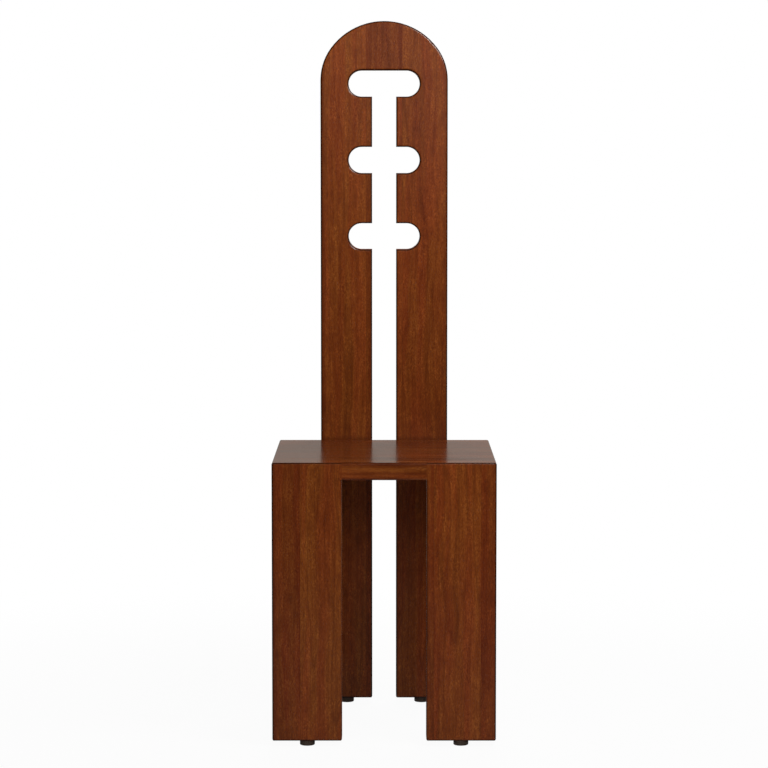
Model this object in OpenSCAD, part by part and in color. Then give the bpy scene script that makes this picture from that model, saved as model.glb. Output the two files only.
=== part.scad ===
// Tall-backed wooden chair.
// Three slabs of glued-up boards carry a board seat: two front legs, and one back panel that
// also makes the two back legs. Each leg stands on a levelling foot.
// Millimetres. The origin is on the floor under the middle of the chair, +X is to the right
// seen from the front, +Y to the back and +Z up. Left and right are as seen from the front.

/* [Overall] */
// Width across the seat and the front legs
chair_w = 358; // [320:1:440]
// Depth from the front of the legs to the face of the back panel
seat_depth = 350; // [280:1:440]
// Height of the top of the seat above the floor
seat_h = 457; // [380:1:520]
// Height of the crown above the floor
back_h = 1169; // [1000:1:1300]
// Radius of the rounding on every outer edge
edge_r = 3.5; // [1:0.5:5]

/* [Back panel] */
// Width of the back panel
back_w = 216; // [180:1:280]
// Thickness of the back panel
back_t = 34; // [26:1:45]
// How much larger the radius of the crown's top arc is than that of its two shoulder arcs
arc_step = 22; // [5:1:60]
// Width of the middle board of the panel, which is mostly cut away
middle_board_w = 61; // [50:1:74]

/* [Back cut-outs] */
// Width of the upright slot that parts the two back legs
slit_w = 41; // [24:1:56]
// Length of each cross slot
slot_l = 121; // [90:1:160]
// Height of each cross slot
slot_h = 44.5; // [30:0.5:60]
// Number of cross slots
slot_count = 3; // [1:1:4]
// Distance from the top of the crown down to the middle of the first cross slot
slot_drop = 105; // [80:1:140]
// Spacing of the cross slots
slot_pitch = 129.5; // [80:0.5:180]

/* [Seat] */
// Thickness of the seat
seat_t = 28; // [20:1:40]

/* [Front legs] */
// Width of each front leg
leg_w = 111.5; // [80:0.5:150]
// Thickness of each front leg
leg_t = 34; // [28:1:45]
// Width of the outer stave of the left leg
left_outer_w = 45; // [20:1:60]
// Width of the outer stave of the right leg
right_outer_w = 24.5; // [12:0.5:40]
// Width of the inner stave of the right leg
right_inner_w = 12; // [6:0.5:30]

/* [Hidden joinery] */
// Height of the cleat and the corner blocks under the seat
block_h = 36; // [28:1:50]
// Depth of the cleat and the corner blocks, front to back
block_t = 32; // [26:1:45]
// Distance of a block's end from the side of the slab that it is fixed to
block_inset = 7; // [2:1:14]
// Diameter of the dowels between the seat and the slabs
dowel_d = 10; // [6:1:12]
// Length of each dowel inside the seat
dowel_in_seat = 28; // [16:1:34]
// Length of each dowel inside a slab
dowel_in_slab = 22; // [12:1:24]
// Distance of the outer dowels from the side of the slab
dowel_inset = 19; // [12:1:26]
// Length of the countersunk screws
screw_l = 48; // [42:1:54]
// Diameter of the screws' shanks
screw_d = 4.5; // [3.5:0.5:5]
// Diameter of the screws' heads
screw_head_d = 9; // [7:0.5:11]

/* [Levelling feet] */
// Diameter of each foot's base
foot_d = 24; // [20:0.5:30]
// Height of each foot's base, with the foot screwed right in
foot_h = 9; // [7.5:0.5:14]
// Diameter of the threaded stud
stud_d = 8; // [6:0.5:10]
// Length of the threaded insert in the leg
insert_l = 14; // [12:1:20]
// Least length of thread that stays in the insert
thread_hold = 10; // [8:1:12]
// How far each foot can be screwed down
foot_travel = 10; // [4:1:16]

/* [Hidden] */
$fn = 96;

// Radial room round a glued dowel, a screw and a pressed-in insert
glue_gap = 0.1;
// Radial room of the stud's thread in its insert
thread_gap = 0.06;
// Room round the swivel head inside the foot's base
swivel_gap = 0.3;
// Length by which a cutting shape passes the face that it cuts
over = 1;

// Planes of the frame, front to back
depth = seat_depth + back_t;
front_y = -depth / 2;
leg_back_y = front_y + leg_t;
panel_y = front_y + seat_depth;
back_y = depth / 2;
panel_mid_y = (panel_y + back_y) / 2;
seat_under = seat_h - seat_t;

// Centres of the legs, across the chair
leg_x = (chair_w - leg_w) / 2;
leg_inner_x = chair_w / 2 - leg_w;
back_leg_w = (back_w - slit_w) / 2;
back_leg_x = (back_w + slit_w) / 4;

// Crown: a top arc that runs into two shoulder arcs, each tangent to the panel's side.
// The shoulder arcs' centres lie off the top arc's centre in the ratio of a 3-4-5 triangle.
shoulder_inset = 0.8 * arc_step;
shoulder_rise = 0.6 * arc_step;
shoulder_turn = atan2(shoulder_rise, shoulder_inset);
// Each half of the crown's top arc turns a little past the middle, so that the halves overlap.
crown_turn = 60;
crown_r = back_w / 2 + arc_step - shoulder_inset;
shoulder_r = crown_r - arc_step;
crown_z = back_h - crown_r;

// Cross slots
first_slot_z = back_h - slot_drop;
slot_end_x = (slot_l - slot_h) / 2;

// Seat boards, equal in width
seat_boards = 5;
seat_board_w = seat_depth / seat_boards;

// Block behind each front leg, and cleat in front of the back panel
block_z = seat_under - block_h / 2;
block_back_y = leg_back_y + block_t;
cleat_front_y = panel_y - block_t;
block_half_w = leg_w / 2 - block_inset;
cleat_half_w = back_w / 2 - block_inset;
screw_tip = 5;
screw_edge = 14;
// Cross recess of a screw's head: its width as a share of the head's, and its arms' thickness
cross_share = 0.55;
cross_t = 1;
dowel_z = seat_h - seat_t / 2;

// Levelling feet, from the floor up
FEET = ["front_left", "front_right", "back_left", "back_right"];
foot_spots = [
    [-leg_x, front_y + leg_t / 2], [leg_x, front_y + leg_t / 2],
    [-back_leg_x, back_y - back_t / 2], [back_leg_x, back_y - back_t / 2]
];
base_floor = 2.5;
base_round = 1.5;
swivel_rim = 2;
swivel_play = 0.1;
swivel_d = stud_d + 2 * swivel_rim;
swivel_t = 2.4;
swivel_z = base_floor + swivel_play;
collar_rim = 2;
collar_af = stud_d + 2 * collar_rim;
collar_t = 3;
collar_play = 0.4;
collar_z = foot_h + collar_play;
recess_rim = 4.25;
recess_d = stud_d + 2 * recess_rim;
recess_h = 4;
flange_room = 0.4;
flange_d = recess_d - 2 * flange_room;
flange_t = 1.5;
insert_wall = 2;
insert_d = stud_d + 2 * insert_wall;
insert_z = foot_h + recess_h;
stud_top = insert_z + thread_hold + foot_travel;
stud_room = 2;
stud_clear = 0.5;

// Signs of a rectangle's corners, in turn from the one at high x and high y
QUADS = [[1, 1], [-1, 1], [-1, -1], [1, -1]];

// What a rounding cuts off a corner: arc centre at the origin, corner at high x and high y
module corner_tool() {
    difference() {
        square(edge_r + over);
        circle(edge_r);
    }
}

// Rectangle whose corners are rounded where eased says so, in the order of QUADS
module eased_rect(x0, x1, y0, y1, eased) {
    difference() {
        translate([x0, y0]) square([x1 - x0, y1 - y0]);
        for (q = [0:3]) {
            if (eased[q]) {
                translate([QUADS[q][0] > 0 ? x1 - edge_r : x0 + edge_r,
                           QUADS[q][1] > 0 ? y1 - edge_r : y0 + edge_r])
                    rotate(90 * q) corner_tool();
            }
        }
    }
}

// Extrudes an outline drawn in X and Z along Y
module along_y(y0, y1) {
    translate([0, y1, 0]) rotate([90, 0, 0]) linear_extrude(y1 - y0) children();
}

// Extrudes an outline drawn in Y and Z along X
module along_x(x0, x1) {
    translate([x0, 0, 0]) rotate([90, 0, 90]) linear_extrude(x1 - x0) children();
}

// Extrudes an outline drawn in X and Y along Z
module along_z(z0, z1) {
    translate([0, 0, z0]) linear_extrude(z1 - z0) children();
}

// Box given by its limits
module limits(x0, x1, y0, y1, z0, z1) {
    translate([x0, y0, z0]) cube([x1 - x0, y1 - y0, z1 - z0]);
}

// Mirror image across the middle of the chair for side -1
module on_side(side) {
    if (side < 0) {
        mirror([1, 0, 0]) children();
    } else {
        children();
    }
}

// Section of a cut through the back panel whose mouths are rounded on both faces
module mouth_profile(width) {
    square([width, back_t + 2 * over], center = true);
    for (q = [0:3]) {
        translate([-QUADS[q][0] * (width / 2 + edge_r), QUADS[q][1] * (back_t / 2 - edge_r)])
            rotate(90 * q) corner_tool();
    }
}

// Round end of a cross slot, turned round the slot's end centre
module slot_end() {
    rotate_extrude(angle = 180) intersection() {
        mouth_profile(slot_h);
        translate([0, -back_t]) square([slot_h, 2 * back_t]);
    }
}

// Cross slot with full round ends
module cross_slot(z) {
    translate([0, panel_mid_y, z]) {
        translate([-slot_end_x, 0, 0])
            rotate([0, 90, 0]) linear_extrude(2 * slot_end_x) mouth_profile(slot_h);
        translate([slot_end_x, 0, 0]) rotate([90, 0, 0]) rotate([0, 0, -90]) slot_end();
        translate([-slot_end_x, 0, 0]) rotate([90, 0, 0]) rotate([0, 0, 90]) slot_end();
    }
}

// Upright slot, from under the back legs to the first cross slot
module upright_slot() {
    translate([0, panel_mid_y, 0])
        along_z(foot_h - over, first_slot_z) mouth_profile(slit_w);
    along_y(panel_y - over, back_y + over) {
        for (q = [2, 3]) {
            translate([-QUADS[q][0] * (slit_w / 2 + edge_r), foot_h + edge_r])
                rotate(90 * q) corner_tool();
        }
    }
}

// Sector of a round slab as thick as the back panel, with its rims rounded
module rim_sector(r, sweep) {
    rotate([90, 0, 0]) rotate_extrude(angle = sweep)
        eased_rect(0, r, -back_t / 2, back_t / 2, [1, 0, 0, 1]);
}

// Straight part of the back panel, from the shoulders down to the ends of the back legs
module panel_stem() {
    bottom = foot_h - crown_z;
    intersection() {
        translate([0, 0, shoulder_rise]) mirror([0, 0, 1]) linear_extrude(shoulder_rise - bottom)
            eased_rect(-back_w / 2, back_w / 2, -back_t / 2, back_t / 2, [1, 1, 1, 1]);
        along_x(-back_w, back_w)
            eased_rect(-back_t / 2, back_t / 2, bottom, shoulder_rise + over, [0, 0, 1, 1]);
        along_y(-back_t, back_t)
            eased_rect(-back_w / 2, back_w / 2, bottom, shoulder_rise + over, [0, 0, 1, 1]);
    }
}

// Back panel in one piece, before it is divided into its boards
module back_panel() {
    difference() {
        translate([0, panel_mid_y, crown_z]) {
            for (side = [-1, 1]) {
                on_side(side) {
                    rotate([0, -shoulder_turn, 0]) rim_sector(crown_r, crown_turn);
                    translate([shoulder_inset, 0, shoulder_rise])
                        rim_sector(shoulder_r, shoulder_turn);
                }
            }
            panel_stem();
        }
        upright_slot();
        for (i = [0:slot_count - 1]) {
            cross_slot(first_slot_z - i * slot_pitch);
        }
        back_bores();
    }
}

// Outer board of the back panel, from the floor to the crown
module back_board(side) {
    color("saddlebrown") intersection() {
        back_panel();
        on_side(side)
            limits(middle_board_w / 2, back_w, panel_y - over, back_y + over, 0, back_h + over);
    }
}

// Middle board over the first cross slot
module crown_board() {
    color("sienna") intersection() {
        back_panel();
        limits(-middle_board_w / 2, middle_board_w / 2, panel_y - over, back_y + over,
               first_slot_z, back_h + over);
    }
}

// What the slots leave of the middle board along one side of the upright slot
module back_strips(side) {
    color("sienna") intersection() {
        back_panel();
        on_side(side) limits(0, middle_board_w / 2, panel_y - over, back_y + over, 0, first_slot_z);
    }
}

// Seat in one piece, before it is divided into its boards
module seat() {
    difference() {
        intersection() {
            along_y(front_y, panel_y)
                eased_rect(-chair_w / 2, chair_w / 2, seat_under, seat_h, [1, 1, 1, 1]);
            along_x(-chair_w / 2, chair_w / 2)
                eased_rect(front_y, panel_y, seat_under, seat_h, [1, 1, 1, 1]);
        }
        for (side = [-1, 1]) {
            on_side(side) limits(leg_inner_x, chair_w, front_y - over, leg_back_y,
                                 seat_under - over, seat_h + over);
        }
        seat_bores();
    }
}

// One board of the seat, counted from the front
module seat_board(i) {
    color("peru") intersection() {
        seat();
        limits(-chair_w, chair_w, front_y + i * seat_board_w, front_y + (i + 1) * seat_board_w,
               seat_under - over, seat_h + over);
    }
}

// Right front leg in one piece: its top is let into the corner of the seat
module front_leg() {
    x1 = chair_w / 2;
    difference() {
        intersection() {
            union() {
                along_z(foot_h, seat_under)
                    eased_rect(leg_inner_x, x1, front_y, leg_back_y, [1, 1, 1, 1]);
                along_z(seat_under, seat_h)
                    eased_rect(leg_inner_x, x1, front_y, leg_back_y, [0, 0, 0, 1]);
            }
            along_y(front_y, leg_back_y)
                eased_rect(leg_inner_x, x1, foot_h, seat_h, [1, 0, 1, 1]);
            along_x(leg_inner_x, x1)
                eased_rect(front_y, leg_back_y, foot_h, seat_h, [0, 1, 1, 1]);
        }
        leg_bores();
    }
}

// Stave of a front leg, between two distances from the leg's outer side
module leg_stave(side, from, to) {
    color("chocolate") on_side(side) intersection() {
        front_leg();
        limits(chair_w / 2 - to, chair_w / 2 - from, front_y - over, leg_back_y + over,
               0, seat_h + over);
    }
}

// Cleat that ties the seat to the back panel
module rear_cleat() {
    color("burlywood") difference() {
        along_x(-cleat_half_w, cleat_half_w)
            eased_rect(cleat_front_y, panel_y, seat_under - block_h, seat_under, [0, 0, 1, 0]);
        cleat_screw_set(glue_gap);
    }
}

// Block that ties the seat to a front leg
module corner_block(side) {
    color("burlywood") on_side(side) difference() {
        along_x(leg_x - block_half_w, leg_x + block_half_w)
            eased_rect(leg_back_y, block_back_y, seat_under - block_h, seat_under, [0, 0, 0, 1]);
        block_screw_set(glue_gap);
    }
}

// Dowel across the plane y, or its hole when it is given a gap
module dowel(x, y, before, after, gap) {
    translate([x, y + after + gap, dowel_z]) rotate([90, 0, 0])
        cylinder(d = dowel_d + 2 * gap, h = before + after + 2 * gap);
}

// Dowels between the right front leg and the seat
module leg_dowel_set(gap) {
    spread = leg_w / 2 - dowel_inset;
    for (x = [-spread, 0, spread]) {
        dowel(leg_x + x, leg_back_y, dowel_in_slab, dowel_in_seat, gap);
    }
}

// Dowels between the seat and the right back leg
module back_dowel_set(gap) {
    spread = back_leg_w / 2 - dowel_inset;
    for (x = [-spread, spread]) {
        dowel(back_leg_x + x, panel_y, dowel_in_seat, dowel_in_slab, gap);
    }
}

// Countersunk screw that points along +Z with its head's face at the origin, or its hole,
// which opens through the face that the head lies in
module screw(gap) {
    head_r = screw_head_d / 2 + gap;
    shank_r = screw_d / 2 + gap;
    head_h = (screw_head_d - screw_d) / 2;
    mouth = gap > 0 ? [[0, -over], [head_r, -over]] : [[0, 0]];
    difference() {
        rotate_extrude() polygon(concat(mouth, [
            [head_r, 0],
            [shank_r, head_h],
            [shank_r, screw_l - screw_tip],
            [0, screw_l + gap]
        ]));
        if (gap == 0) {
            for (turn = [0, 90]) {
                rotate(turn) cube([cross_share * screw_head_d, cross_t, head_h], center = true);
            }
        }
    }
}

// Screws of the cleat: into the back panel, and up into the seat
module cleat_screw_set(gap) {
    spread = back_leg_w / 2 - block_inset - screw_edge;
    for (side = [-1, 1], x = [-spread, spread]) {
        translate([side * back_leg_x + x, cleat_front_y, block_z]) rotate([-90, 0, 0]) screw(gap);
    }
    for (x = [-back_leg_x, 0, back_leg_x]) {
        translate([x, panel_y - block_t / 2, seat_under - block_h]) screw(gap);
    }
}

// Screws of the right corner block: into the leg, and up into the seat
module block_screw_set(gap) {
    spread = block_half_w - screw_edge;
    for (x = [-spread, spread]) {
        translate([leg_x + x, block_back_y, block_z]) rotate([90, 0, 0]) screw(gap);
        translate([leg_x + x / 3, leg_back_y + block_t / 2, seat_under - block_h]) screw(gap);
    }
}

// Hole in the foot of a leg: recess, seat of the insert, and room for the stud
module foot_bore(spot) {
    translate([spot[0], spot[1], 0]) {
        translate([0, 0, foot_h - over]) cylinder(d = recess_d, h = recess_h + flange_t + over);
        translate([0, 0, insert_z]) cylinder(d = insert_d + 2 * glue_gap, h = insert_l);
        translate([0, 0, insert_z])
            cylinder(d = stud_d + 2 * stud_clear, h = stud_top + stud_room - insert_z);
    }
}

module leg_bores() {
    foot_bore(foot_spots[1]);
    leg_dowel_set(glue_gap);
    block_screw_set(glue_gap);
}

module back_bores() {
    foot_bore(foot_spots[2]);
    foot_bore(foot_spots[3]);
    for (side = [-1, 1]) {
        on_side(side) back_dowel_set(glue_gap);
    }
    cleat_screw_set(glue_gap);
}

module seat_bores() {
    for (side = [-1, 1]) {
        on_side(side) {
            leg_dowel_set(glue_gap);
            back_dowel_set(glue_gap);
            block_screw_set(glue_gap);
        }
    }
    cleat_screw_set(glue_gap);
}

// Moulded base of a levelling foot, with the socket of the stud's swivel head
module foot_base(spot) {
    r = foot_d / 2;
    socket_r = swivel_d / 2 + swivel_gap;
    neck_r = stud_d / 2 + swivel_gap;
    socket_top = swivel_z + swivel_t + swivel_play;
    color("dimgray") translate([spot[0], spot[1], 0]) rotate_extrude() difference() {
        union() {
            square([r - base_round, foot_h]);
            translate([0, base_round]) square([r, foot_h - base_round]);
            translate([r - base_round, base_round]) circle(base_round);
        }
        translate([0, base_floor]) square([socket_r, socket_top - base_floor]);
        translate([0, base_floor]) square([neck_r, foot_h]);
    }
}

// Stud of a levelling foot: swivel head, shank with its thread, and six-sided collar
module foot_stud(spot) {
    color("silver") translate([spot[0], spot[1], 0]) {
        translate([0, 0, swivel_z]) cylinder(d = swivel_d, h = swivel_t);
        translate([0, 0, swivel_z]) cylinder(d = stud_d, h = stud_top - swivel_z);
        translate([0, 0, collar_z]) cylinder(d = collar_af / cos(30), h = collar_t, $fn = 6);
    }
}

// Flanged threaded insert in the foot of a leg
module foot_insert(spot) {
    color("goldenrod") translate([spot[0], spot[1], insert_z]) difference() {
        union() {
            cylinder(d = flange_d, h = flange_t);
            cylinder(d = insert_d, h = insert_l);
        }
        translate([0, 0, -over]) cylinder(d = stud_d + 2 * thread_gap, h = insert_l + 2 * over);
    }
}

back_board(-1);  // back_left_board
back_board(1);  // back_right_board
crown_board();
back_strips(-1);  // back_left_strips
back_strips(1);  // back_right_strips
for (i = [0:seat_boards - 1]) {
    seat_board(i);
}
leg_stave(-1, 0, left_outer_w);  // left_leg_outer_stave
leg_stave(-1, left_outer_w, leg_w);  // left_leg_inner_stave
leg_stave(1, leg_w - right_inner_w, leg_w);  // right_leg_inner_stave
union() {  // right_leg_middle_stave
    leg_stave(1, right_outer_w, leg_w - right_inner_w);
}
leg_stave(1, 0, right_outer_w);  // right_leg_outer_stave
rear_cleat();
corner_block(-1);  // left_corner_block
corner_block(1);  // right_corner_block
color("wheat") on_side(-1) leg_dowel_set(0);  // left_leg_dowels
color("wheat") leg_dowel_set(0);  // right_leg_dowels
union() {  // back_dowels
    color("wheat") for (side = [-1, 1]) on_side(side) back_dowel_set(0);
}
color("darkgray") cleat_screw_set(0);  // cleat_screws
color("darkgray") on_side(-1) block_screw_set(0);  // left_block_screws
color("darkgray") block_screw_set(0);  // right_block_screws
for (i = [0:len(FEET) - 1]) {
    foot_base(foot_spots[i]);
    foot_stud(foot_spots[i]);
    foot_insert(foot_spots[i]);
}
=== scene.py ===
"""Looks and small fittings of a tall-backed chair made of glued-up boards.

The boards, blocks and cleat keep the solids of the frame and get a lacquered wood finish. The dowels,
screws and levelling feet are modelled here, each in the place of its plain solid. Metres throughout.
"""

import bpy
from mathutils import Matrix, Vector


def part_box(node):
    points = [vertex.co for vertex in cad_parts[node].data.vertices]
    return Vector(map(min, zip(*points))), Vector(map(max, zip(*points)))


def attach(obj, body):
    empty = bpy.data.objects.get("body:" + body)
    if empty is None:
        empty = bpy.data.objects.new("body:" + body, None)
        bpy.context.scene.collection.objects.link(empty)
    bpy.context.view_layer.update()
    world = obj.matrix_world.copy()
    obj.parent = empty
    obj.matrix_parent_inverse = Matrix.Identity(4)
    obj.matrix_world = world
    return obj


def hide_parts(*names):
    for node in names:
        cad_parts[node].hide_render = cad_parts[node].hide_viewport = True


bl_info = {
    "name": "Tall-Backed Chair",
    "version": (1, 0, 0),
    "blender": (4, 5, 0),
    "location": "View3D > Sidebar > Chair",
    "description": "Finishes the boards of a tall-backed chair and models its fittings",
    "category": "Object",
}

import math
import random
from collections import namedtuple

import bmesh
import bpy
from bpy.props import FloatProperty, FloatVectorProperty, IntProperty, PointerProperty
from bpy.types import Operator, Panel, PropertyGroup
from mathutils import Matrix, Vector

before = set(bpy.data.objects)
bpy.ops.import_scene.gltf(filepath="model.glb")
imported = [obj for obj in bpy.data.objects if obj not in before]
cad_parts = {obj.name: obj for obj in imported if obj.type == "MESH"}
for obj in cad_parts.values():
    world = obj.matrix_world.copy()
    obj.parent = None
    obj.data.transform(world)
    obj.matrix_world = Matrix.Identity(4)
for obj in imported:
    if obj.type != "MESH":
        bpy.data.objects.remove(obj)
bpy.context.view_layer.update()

MM = 0.001
WELD = 1e-6
FEET = ("front_left", "front_right", "back_left", "back_right")

# Width of the camera's sensor in millimetres, and how far the camera sees
SENSOR_WIDTH = 36.0
FARTHEST = 50.0

# Look of a board: its brightness, its warmth, which moves it from brown to red, the strength of its figure,
# the number of its cut, which says where in the log it lay, and how dark the painted shade on its rounded
# arrises is
Board = namedtuple("Board", "brightness warmth figure cut arris")

BACK_BOARDS = {
    "back_left_board": Board(1.19, -0.02, 0.75, 4, 0.9),
    "back_right_board": Board(1.04, 0.01, 0.9, 3, 0.9),
    "crown_board": Board(0.87, 0.04, 0.6, 1, 0.9),
    "back_left_strips": Board(0.95, 0.02, 0.8, 24, 0.9),
    "back_right_strips": Board(1.13, 0.0, 0.9, 25, 0.9),
}
SEAT_BOARDS = {
    "seat_board_1": Board(0.97, -0.02, 6.5, 13, 0.15),
    "seat_board_2": Board(0.93, 0.03, 2.2, 27, 0.3),
    "seat_board_3": Board(1.0, -0.02, 2.2, 28, 0.3),
    "seat_board_4": Board(0.9, 0.02, 2.2, 29, 0.3),
    "seat_board_5": Board(0.97, 0.0, 2.2, 10, 0.3),
}
LEG_STAVES = {
    "left_leg_outer_stave": Board(0.93, 0.03, 0.8, 11, 0.9),
    "left_leg_inner_stave": Board(1.17, -0.02, 0.9, 1, 0.3),
    "right_leg_inner_stave": Board(1.04, 0.02, 0.7, 13, 0.3),
    "right_leg_middle_stave": Board(1.23, 0.0, 0.8, 4, 0.3),
    "right_leg_outer_stave": Board(1.05, 0.03, 0.8, 15, 0.9),
}
HIDDEN_BLOCKS = {
    "rear_cleat": Board(0.9, 0.0, 1.0, 16, 0.4),
    "left_corner_block": Board(0.95, 0.0, 1.0, 17, 0.4),
    "right_corner_block": Board(0.9, 0.02, 1.0, 18, 0.4),
}

# How dark the painted shade is along the outer side of a slab, on the boards that reach it; deeper on the
# left, away from the main lamp
OUTER_SIDE_SHADE = {
    "back_left_board": 0.8,
    "back_right_board": 0.4,
    "left_leg_outer_stave": 0.6,
    "right_leg_outer_stave": 0.3,
}

# How dark the painted shade on the arrises is at the two ends of an upright board
END_ARRIS_SHADE = 0.8

# Layer of the grain: the setting that its width comes from, its width as a share of that, how far it is
# drawn out along the grain, the detail and roughness of its noise, its weight in the shade, and the share
# of its strength that the board's figure scales
Layer = namedtuple("Layer", "setting share stretch detail roughness weight figure")

GRAIN = {
    "bands": Layer("band", 1.0, 26, 1.0, 0.5, 0.36, 1.0),
    "tints": Layer("band", 0.8, 18, 1.5, 0.5, 0.0, 0.0),
    "contours": Layer("band", 1.5, 14, 1.0, 0.5, 0.0, 0.0),
    "blotches": Layer("band", 0.7, 2.2, 2.0, 0.5, 0.36, 0.0),
    "ribbons": Layer("ribbon", 1.0, 14, 2.0, 0.5, 0.18, 0.6),
    "streaks": Layer("streak", 1.0, 45, 2.0, 0.6, 0.18, 0.0),
    "fibres": Layer("fibre", 1.0, 9, 2.0, 0.6, 0.34, 0.0),
    "threads": Layer("fibre", 0.5, 6, 1.0, 0.5, 0.45, 0.0),
    "speckles": Layer("fibre", 1.0, 1.7, 1.0, 0.5, 0.18, 0.0),
    "hairs": Layer("hair", 1.0, 16, 1.0, 0.5, 0.38, 0.0),
}

# Lamp: its place, the point that it faces, its width and height, and whether gloss shows it
Lamp = namedtuple("Lamp", "place target size in_gloss")

LAMPS = {
    "key": Lamp((0.55, -0.6, 1.55), (0.0, 0.0, 0.9), (0.6, 0.42), True),
    "front": Lamp((0.0, -3.2, 1.7), (0.0, 0.0, 0.4), (3.0, 1.0), False),
    "sheen": Lamp((0.7, -3.0, 1.4), (0.0, 0.0, 1.1), (1.64, 1.1), True),
    "back": Lamp((0.3, 1.6, 1.9), (0.0, 0.0, 0.6), (1.4, 1.2), False),
}


def colour(name, description, default):
    """Property of a colour that a user would change."""
    return FloatVectorProperty(
        name=name, description=description, default=default,
        subtype="COLOR", size=3, min=0.0, max=1.0)


def length(name, description, default):
    """Property of a length in metres."""
    return FloatProperty(
        name=name, description=description, default=default,
        unit="LENGTH", min=0.0, precision=5)


class WoodSettings(PropertyGroup):
    """Colours and grain of the lacquered boards."""

    main: colour("Main", "Usual colour of the boards", (0.165, 0.034, 0.0055))
    dark: colour("Dark", "Colour of the dark streaks", (0.075, 0.0125, 0.0022))
    # The arris colour is painted shade on the rounded arrises, which turn away from the lamps
    wear_and_arris_shade: colour("Arris", "Colour of the stain gathered on the rounded arrises", (0.022, 0.006, 0.002))
    light: colour("Light", "Colour of the light ribbons", (0.30, 0.078, 0.014))
    ring: length("Ring", "Spacing of the growth rings", 7 * MM)
    band: length("Band", "Width of the broad bands of red and golden wood", 20 * MM)
    ribbon: length("Ribbon", "Width of the ribbons of the grain", 6 * MM)
    streak: length("Streak", "Width of the long streaks of the grain", 2.6 * MM)
    fibre: length("Fibre", "Width of the fibres that show from a step away", 1.8 * MM)
    hair: length("Hair", "Width of the finest fibres", 0.4 * MM)
    wander: length("Wander", "How far a fibre strays sideways over its length", 9 * MM)
    pore: length("Pore", "Width of the open pores", 0.45 * MM)
    pore_depth: length("Pore depth", "Depth of the pores under the lacquer", 0.04 * MM)
    # crease_shade is the height of the painted shade on the back just over the seat
    crease_shade: length("Crease", "Height of the darker wood where the seat meets the back", 10 * MM)
    # sole is the height over which the painted shade on the arrises deepens at an upright board's end
    sole: length("Sole", "Height over which the arrises at an upright board's end are dark", 6 * MM)
    side: FloatProperty(
        name="Side", description="How much lighter the narrow sides of a board are", default=0.5,
        min=0.0, max=1.0)
    joint: length("Joint", "Width of the darker wood beside a glue line", 0.5 * MM)
    # rim is the width of the painted shade along a slab's outer sides
    rim: length("Rim", "Width of the deeper stain along a slab's outer sides", 11 * MM)
    gloss: FloatProperty(
        name="Gloss", description="Roughness of the lacquer", default=0.2, min=0.0, max=1.0)
    matt: FloatProperty(
        name="Matt", description="How much rougher the end grain of the back's boards is", default=0.8,
        min=0.0, max=1.0)


class FootSettings(PropertyGroup):
    """Sizes and colours of the levelling feet and the other fittings."""

    pitch: length("Pitch", "Rise of the stud's thread for each turn", 1.25 * MM)
    thread_depth: length("Thread depth", "Depth of the stud's thread", 0.6 * MM)
    dish: length("Dish", "Depth of the hollow under each sole", 0.4 * MM)
    nylon: colour("Nylon", "Colour of the moulded bases", (0.07, 0.047, 0.034))
    zinc: colour("Zinc", "Colour of the plated steel", (0.60, 0.59, 0.56))
    brass: colour("Brass", "Colour of the inserts", (0.72, 0.50, 0.22))
    beech: colour("Beech", "Colour of the dowels", (0.56, 0.37, 0.21))
    screw_pitch: length("Screw pitch", "Rise of a wood screw's thread for each turn", 2.2 * MM)
    flutes: IntProperty(
        name="Flutes", description="Number of flutes round a dowel", default=18, min=6, max=60)


class StageSettings(PropertyGroup):
    """Camera, floor and lamps."""

    eye: FloatVectorProperty(
        name="Eye", description="Place of the camera", subtype="XYZ", unit="LENGTH", size=3,
        default=(-0.0002, -4.561, 0.9557))
    pitch: FloatProperty(
        name="Pitch", description="Angle of the view below the horizon", subtype="ANGLE",
        default=math.radians(4.88))
    lens: FloatProperty(
        name="Lens", description="Focal length in millimetres on a sensor 36 mm wide", default=129.83)
    floor_radius: length("Floor radius", "Radius of the pale floor", 1.7)
    floor_colour: colour("Floor colour", "Colour of the pale floor", (0.8, 0.8, 0.8))
    floor_glow: FloatProperty(
        name="Floor glow", description="How nearly white the camera sees the floor by the chair",
        default=0.95, min=0.0, max=1.0)
    floor_gloss: FloatProperty(
        name="Floor in gloss", description="Brightness of the floor that gloss shows", default=0.1)
    key_power: FloatProperty(
        name="Key", description="Power of the main lamp, close in front and above", default=10.0,
        unit="POWER")
    front_power: FloatProperty(
        name="Front", description="Power of the large lamp, high in front", default=43.0, unit="POWER")
    sheen_power: FloatProperty(
        name="Sheen", description="Power of the lamp that the upper boards mirror", default=2.2,
        unit="POWER")
    back_power: FloatProperty(
        name="Back", description="Power of the lamp behind the chair", default=30.0, unit="POWER")
    fill: FloatProperty(name="Fill", description="Strength of the light from all round", default=0.03)
    backdrop: colour("Backdrop", "Tint of the studio in gloss and in the dim light", (1.0, 0.97, 0.88))
    front_gloss: FloatProperty(
        name="Front in gloss", description="Brightness that gloss shows of the studio in front",
        default=0.04)
    back_gloss: FloatProperty(
        name="Back in gloss", description="Brightness that gloss shows of the backdrop", default=0.345)


class Signal:
    """Value or colour on its way through a node tree. Sums of signals become Math nodes."""

    def __init__(self, nodes, socket):
        self.nodes = nodes
        self.socket = socket

    def math(self, operation, first, second=0.0):
        """Math node on one or two values."""
        return self.nodes.add("ShaderNodeMath", {"operation": operation}, {0: first, 1: second})

    def __add__(self, other):
        return self.math("ADD", self, other)

    def __radd__(self, other):
        return self.math("ADD", other, self)

    def __sub__(self, other):
        return self.math("SUBTRACT", self, other)

    def __rsub__(self, other):
        return self.math("SUBTRACT", other, self)

    def __mul__(self, other):
        return self.math("MULTIPLY", self, other)

    def __rmul__(self, other):
        return self.math("MULTIPLY", other, self)

    def __abs__(self):
        return self.math("ABSOLUTE", self)


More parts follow.
